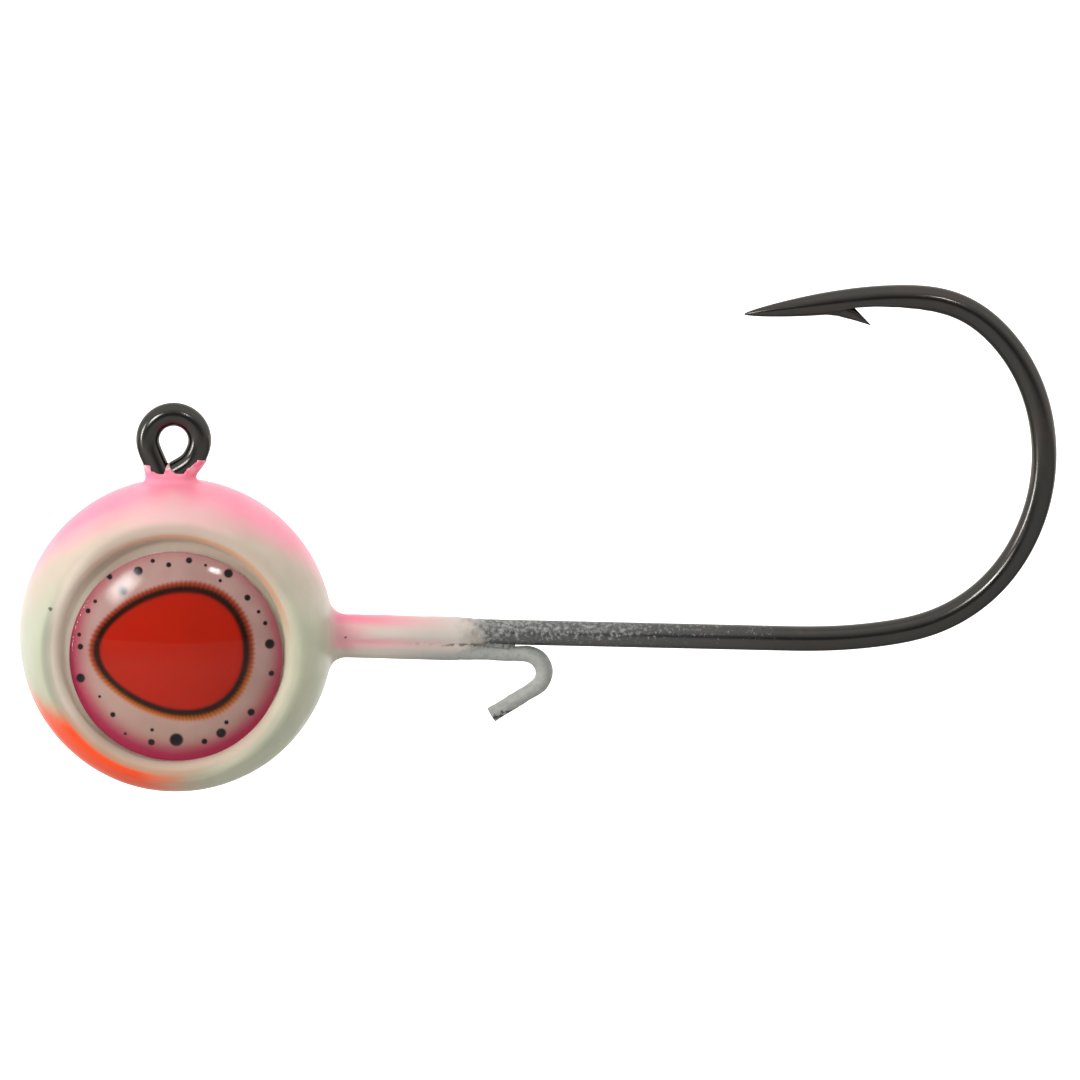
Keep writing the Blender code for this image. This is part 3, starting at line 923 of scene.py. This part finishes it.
def coat_material():
    """Baked paint in soft sprayed bands, with painted shade and painted light, worked out from
    places round the ball's centre.
    """
    graph = Surface("powder_coat_paint")
    place = graph.split(graph.vector("SUBTRACT", graph.place, tuple(BALL_CENTRE)))
    x, _, z = place
    radius = graph.math("POWER", graph.plus(graph.times(x, x), graph.times(z, z)), 0.5)
    rise = above_shank(graph, x, z)
    colour = unsprayed_coat(graph, x, rise)
    colour = spray_pink(graph, colour, place, radius, rise)
    colour = tint_sockets(graph, colour, place, radius)
    orange, haze = chin_orange(graph, x, z, radius)
    colour = graph.mix(graph.times(haze, 0.55), colour, OCHRE)
    colour = graph.mix(orange, colour, ORANGE)
    colour = wear_sleeve(graph, colour, x, rise)
    colour = graph.mix(graph.times(paint_flaws(graph), 0.85), colour, FLAW_BLACK)
    peel = graph.plus(graph.noise(0.5, 2.0), graph.times(graph.noise(1.6), 1.5))
    graph.set(
        Base_Color=colour,
        Roughness=graph.plus(0.26, graph.times(graph.noise(0.8, 3.0), 0.20)),
        Specular_IOR_Level=0.2,
        Normal=graph.bump(peel, 0.015),
    )
    return graph.material


def hook_material():
    """Black nickel plate, with grains of coating powder along the front of the shank."""
    graph = Surface("black_nickel_plate")
    x, _, z = graph.split(graph.place)
    metal = graph.mix(graph.fade(graph.noise(1.8, 3.0), 0.40, 0.68), NICKEL, WARM_NICKEL)
    level = graph.plus(above_shank(graph, x, z), SHANK_DEPTH)
    scarcity = graph.plus(
        0.38,
        graph.times(graph.fade(x, 11.0, 15.5), 0.07),
        graph.times(graph.fade(x, 15.0, 23.5), 0.17),
        graph.times(graph.fade(level, 0.3, -0.4), 0.12),
        graph.times(graph.noise(0.5, 2.0), 0.14),
    )
    grain = graph.minus(graph.noise(0.15, 3.0, 0.7), scarcity)
    on_shank = graph.times(graph.fade(x, 9.0, 10.0), graph.fade(z, -6.0, -6.4),
                           graph.fade(x, 25.0, 22.0))
    powder = graph.times(graph.fade(grain, -0.11, 0.15), on_shank)
    haze = graph.times(graph.fade(x, 26.0, 13.0), on_shank)
    dusted = graph.mix(graph.times(haze, 0.55), metal, HAZY_NICKEL)
    stretched = graph.vector("MULTIPLY", graph.place, (0.4, 3.0, 1.0))
    streaks = graph.noise(0.5, 4.0, vector=stretched)
    waves = graph.noise(0.7, 2.0, vector=stretched)
    graph.set(
        Base_Color=graph.mix(powder, dusted, SHANK_POWDER),
        Metallic=graph.minus(1.0, powder),
        Specular_Tint=(0.70, 0.69, 0.66, 1.0),
        Roughness=graph.plus(0.10, graph.times(streaks, 0.18), graph.times(haze, 0.15),
                             graph.times(powder, 0.4)),
        Normal=graph.bump(graph.plus(waves, powder), 0.003),
    )
    return graph.material


def keeper_material():
    """Thin whitish powder over wire, worn grey in patches."""
    graph = Surface("dusted_keeper_coat")
    worn = graph.fade(graph.noise(0.24, 5.0, 0.7), 0.40, 0.64)
    colour = graph.mix(worn, KEEPER_POWDER, KEEPER_GREY)
    _, _, z = graph.split(graph.place)
    tip = graph.times(graph.fade(z, -10.1, -10.5), graph.noise(0.2, 2.0))
    colour = graph.mix(graph.fade(tip, 0.45, 0.6), colour, KEEPER_STAIN)
    graph.set(
        Base_Color=colour,
        Roughness=graph.plus(0.45, graph.times(worn, 0.2)),
        Normal=graph.bump(graph.noise(0.14, 4.0), 0.02),
    )
    return graph.material


# An eye's printed art, in shares of its radius: the egg-shaped pupil and the speckles
PUPIL_MIDDLE = (-0.04, 0.058)
PUPIL_HALF_SIZE = (0.662, 0.538)
PUPIL_LEAN = 0.22
IRIS = (0.385, 0.235, 0.205)
IRIS_PALE = (0.43, 0.285, 0.25)
IRIS_LOW = (0.45, 0.315, 0.235)
RIM_MAGENTA = (0.34, 0.018, 0.060)
FRINGE_LOW = (0.42, 0.105, 0.012)
FRINGE_HIGH = (0.30, 0.045, 0.018)
RING_BLACK = (0.022, 0.006, 0.003)
PUPIL_RED = (0.38, 0.013, 0.003)
PUPIL_DEEP_RED = (0.28, 0.010, 0.003)
SPECKLE_BLACK = (0.010, 0.008, 0.009)
SPECKLES = (  # angle anticlockwise from +X in degrees, distance out, radius
    (113, 0.88, 0.045), (128, 0.79, 0.048), (103, 0.93, 0.02), (94, 0.87, 0.024),
    (82, 0.92, 0.03), (72, 0.91, 0.012), (58, 0.93, 0.045), (60, 0.83, 0.015),
    (40, 0.87, 0.03), (29, 0.88, 0.016), (21, 0.89, 0.02), (8, 0.88, 0.05),
    (-10, 0.90, 0.028), (-37, 0.87, 0.036), (-53, 0.77, 0.02), (-60, 0.83, 0.05),
    (-72, 0.84, 0.028), (-90, 0.78, 0.07), (-106, 0.84, 0.033), (-108, 0.72, 0.016),
    (-123, 0.87, 0.013), (-137, 0.80, 0.025), (-152, 0.80, 0.012), (-167, 0.91, 0.046),
    (174, 0.89, 0.028), (167, 0.92, 0.018), (152, 0.92, 0.024), (145, 0.91, 0.018),
    (129, 0.97, 0.025),
)


def pupil_distance(graph, flat, u, v):
    """Distance out from the pupil's edge, an egg with its narrow end to the front."""
    across = graph.math("DIVIDE", graph.minus(u, PUPIL_MIDDLE[0]), PUPIL_HALF_SIZE[0])
    swell = graph.plus(1.0, graph.times(across, PUPIL_LEAN))
    rise = graph.math("DIVIDE", graph.minus(v, PUPIL_MIDDLE[1]), PUPIL_HALF_SIZE[1])
    rise = graph.math("DIVIDE", rise, graph.most(swell, 0.3))
    squared = graph.plus(graph.times(across, across), graph.times(rise, rise))
    reach = graph.most(graph.math("POWER", squared, 0.5), 0.05)
    away = graph.distance(flat, (PUPIL_MIDDLE[0], 0.0, PUPIL_MIDDLE[1]))
    return graph.minus(away, graph.math("DIVIDE", away, reach))


def print_iris(graph, flat, x, z):
    """Mottled flesh colour with a magenta rim, which is widest at the lower front."""
    iris = graph.mix(graph.fade(graph.noise(1.4, 3.0), 0.3, 0.7), IRIS, IRIS_PALE)
    iris = graph.mix(graph.times(graph.fade(z, 0.3, -0.75), 0.45), iris, IRIS_LOW)
    lean = graph.plus(graph.times(z, -0.09), graph.times(graph.math("MINIMUM", x, 0.0), -0.035))
    out = graph.vector("LENGTH", flat, output="Value")
    return graph.mix(graph.fade(graph.plus(out, lean), 0.80, 1.04), iris, RIM_MAGENTA)


def print_pupil(graph, colour, flat, x, z):
    """A red pupil in a dark ring, with a finely toothed fringe round it."""
    edge = pupil_distance(graph, flat, x, z)
    turn = graph.math("ARCTAN2", z, x)
    teeth = graph.times(graph.math("SINE", graph.times(turn, 104.0)), 0.0045)
    ragged = graph.plus(edge, teeth)
    fringe = graph.mix(graph.fade(z, -0.35, 0.1), FRINGE_LOW, FRINGE_HIGH)
    colour = graph.mix(graph.fade(ragged, 0.125, 0.078), colour, fringe)
    colour = graph.mix(graph.fade(ragged, 0.090, 0.036), colour, RING_BLACK)
    stain = graph.fade(graph.distance(flat, (0.18, 0.0, 0.24)), 0.16, 0.02)
    red = graph.mix(graph.times(stain, 0.35), PUPIL_RED, PUPIL_DEEP_RED)
    return graph.mix(graph.fade(edge, 0.016, -0.028), colour, red)


def print_speckles(graph, colour, flat):
    spots = 0.0
    for angle, share, size in SPECKLES:
        around = math.radians(angle)
        point = (share * math.cos(around), 0.0, share * math.sin(around))
        spot = graph.fade(graph.distance(flat, point), size + 0.008, size * 0.7)
        spots = graph.most(spots, spot)
    return graph.mix(spots, colour, SPECKLE_BLACK)


def film_material(side):
    """The printed eye, worked out in shares of its radius."""
    graph = Surface(f"printed_eye_{side}")
    centre, radius, _ = eye_place(side)
    local = graph.vector("SUBTRACT", graph.place, tuple(centre))
    x, _, z = graph.split(graph.vector("SCALE", local, scale=1.0 / radius))
    flat = graph.join(x, 0.0, z)
    colour = print_iris(graph, flat, x, z)
    colour = print_pupil(graph, colour, flat, x, z)
    colour = print_speckles(graph, colour, flat)
    graph.set(
        Base_Color=colour,
        Roughness=graph.plus(0.6, graph.times(graph.noise(0.3), 0.1)),
        Specular_IOR_Level=0.0,
    )
    return graph.material


def resin_material():
    """Clear resin that lets lamps through to the print under it."""
    graph = Surface("clear_resin")
    graph.set(
        Base_Color=(0.985, 0.965, 0.965, 1.0),
        Transmission_Weight=1.0,
        IOR=1.32,
        Roughness=graph.times(graph.noise(2.5, 2.0), 0.08),
        Normal=graph.bump(graph.noise(2.2, 1.0), 0.01),
    )
    shadow = graph.add("ShaderNodeLightPath", {}, "Is Shadow Ray")
    clear = graph.add("ShaderNodeBsdfTransparent", {"Color": (0.97, 0.94, 0.94, 1.0)})
    blend = graph.add("ShaderNodeMixShader", {0: shadow, 1: graph.shader.outputs[0], 2: clear})
    graph.feed(graph.tree.nodes["Material Output"].inputs["Surface"], blend)
    return graph.material


def lead_material():
    graph = Surface("cast_lead")
    tarnish = graph.fade(graph.noise(1.5, 5.0), 0.4, 0.7)
    graph.set(
        Base_Color=graph.mix(tarnish, (0.30, 0.31, 0.33), (0.16, 0.165, 0.17)),
        Metallic=0.9,
        Roughness=graph.plus(0.4, graph.times(tarnish, 0.3)),
        Normal=graph.bump(graph.noise(0.3, 4.0), 0.02),
    )
    return graph.material


def foam_material():
    graph = Surface("foam_adhesive")
    cells = graph.noise(0.12, 3.0)
    graph.set(
        Base_Color=graph.mix(cells, (0.74, 0.73, 0.69), (0.86, 0.85, 0.82)),
        Roughness=0.85,
        Normal=graph.bump(cells, 0.02),
    )
    return graph.material


def dress_node(node, material):
    """Give a CAD node that stays its material."""
    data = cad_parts[node].data
    data.materials.clear()
    data.materials.append(material)


# ---- stage, lights, camera


def make_floor():
    """A wide pale floor, well below the part, that sweeps up behind it and is lit there."""
    half, drop, bend, back = 1.6, 0.07, 0.5, 1.2
    rows = [(-half, -drop), (back - bend, -drop)]
    for turn in range(1, 13):
        angle = math.pi / 2 * turn / 12
        rows.append((back - bend + bend * math.sin(angle), bend - drop - bend * math.cos(angle)))
    rows.append((back, 1.6))
    vertices = [(side * half, y, z) for y, z in rows for side in (-1, 1)]
    faces = [(i, i + 1, i + 3, i + 2) for i in range(0, 2 * len(rows) - 2, 2)]
    graph = Surface("pale_floor")
    _, y, _ = graph.split(graph.place)
    glow = graph.times(graph.fade(y, 110.0, 170.0), BACKDROP_GLOW)
    front = graph.mix(graph.fade(y, -20.0, 30.0), (0.50, 0.50, 0.50), (0.32, 0.32, 0.32))
    pale = graph.mix(graph.fade(y, 80.0, 150.0), front, (0.75, 0.75, 0.75))
    graph.set(Base_Color=pale, Roughness=0.9,
              Emission_Color=(1.0, 1.0, 1.0, 1.0), Emission_Strength=glow)
    floor = mesh_piece("floor", np.array(vertices) / MM, faces, graph.material)
    floor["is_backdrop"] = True


def bearing(azimuth, elevation):
    """Unit direction from the part: degrees to the left of the front, degrees up."""
    a, e = math.radians(azimuth), math.radians(elevation)
    return Vector((-math.sin(a) * math.cos(e), -math.cos(a) * math.cos(e), math.sin(e)))


def aim(thing, place, target, across=(1.0, 0.0, 0.0)):
    """Put a lamp or camera at place, pointed at target, its own X axis close to across."""
    thing.location = Vector(place) * MM
    back = (Vector(place) - Vector(target)).normalized()
    up = back.cross(Vector(across)).normalized()
    axes = Matrix((up.cross(back), up, back)).transposed()
    thing.rotation_euler = axes.to_euler()


def fade_edges(lamp):
    """Let a softbox be brightest in its middle and fade out to its edges."""
    lamp.use_nodes = True
    graph = Graph(lamp.node_tree)
    across, along, _ = graph.split(graph.add("ShaderNodeNewGeometry", {}, "Parametric"))
    strength = graph.times(*(
        graph.fade(graph.math("PINGPONG", side, 0.5), 0.0, SOFTBOX_EDGE, end=SOFTBOX_MIDDLE)
        for side in (across, along)
    ))
    graph.feed(graph.tree.nodes["Emission"].inputs["Strength"], strength)


def add_softbox(name, start, end, width, radiance):
    """A softbox facing the part that reaches from one bearing to another."""
    first, last = (LIGHTS_TARGET + bearing(*way) * SOFTBOX_DISTANCE for way in (start, end))
    length = (last - first).length
    lamp = bpy.data.lights.new(name, "AREA")
    lamp.shape = "RECTANGLE"
    lamp.size, lamp.size_y = length * MM, width * MM
    lamp.energy = radiance * math.pi * lamp.size * lamp.size_y
    fade_edges(lamp)
    softbox = bpy.data.objects.new(name, lamp)
    bpy.context.scene.collection.objects.link(softbox)
    aim(softbox, (first + last) / 2, LIGHTS_TARGET, across=last - first)


def make_world():
    """A white room that is dimmer on the camera's side, though not overhead."""
    world = bpy.data.worlds.new("studio")
    bpy.context.scene.world = world
    world.use_nodes = True
    graph = Graph(world.node_tree)
    background = graph.tree.nodes["Background"]
    direction = graph.add("ShaderNodeTexCoord", {}, "Generated")
    slant = graph.vector("DOT_PRODUCT", direction, ROOM_SLANT, output="Value")
    graph.feed(background.inputs["Color"], (1.0, 1.0, 1.0, 1.0))
    graph.feed(background.inputs["Strength"], graph.fade(slant, *ROOM_SPAN, ROOM_FRONT, ROOM_BACK))


def make_camera():
    lens = bpy.data.cameras.new("camera")
    lens.sensor_width = SENSOR_WIDTH
    lens.lens = SENSOR_WIDTH * CAMERA_DISTANCE / FRAME_WIDTH
    lens.clip_start = 0.01
    lens.clip_end = 10.0
    camera = bpy.data.objects.new("camera", lens)
    bpy.context.scene.collection.objects.link(camera)
    bpy.context.scene.camera = camera
    roll = math.radians(CAMERA_ROLL)
    across = (math.cos(roll), 0.0, math.sin(roll))
    place = CAMERA_TARGET + bearing(0.0, CAMERA_ELEVATION) * CAMERA_DISTANCE
    aim(camera, place, CAMERA_TARGET, across)


make_camera()
make_world()
for softbox in SOFTBOXES:
    add_softbox(*softbox)
make_floor()
make_coat(coat_material())
make_hook(hook_material())
make_keeper(keeper_material())
for eye_side in ("left", "right"):
    make_eye(eye_side, film_material(eye_side), resin_material())
    dress_node(f"eye_adhesive_{eye_side}", foam_material())
dress_node("lead_head", lead_material())
bpy.context.scene.view_settings.view_transform = "Standard"

visual_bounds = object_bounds()
boxes = {"cad": cad_bounds, "visual": visual_bounds}
{name: [list(corner) for corner in box] for name, box in boxes.items()}
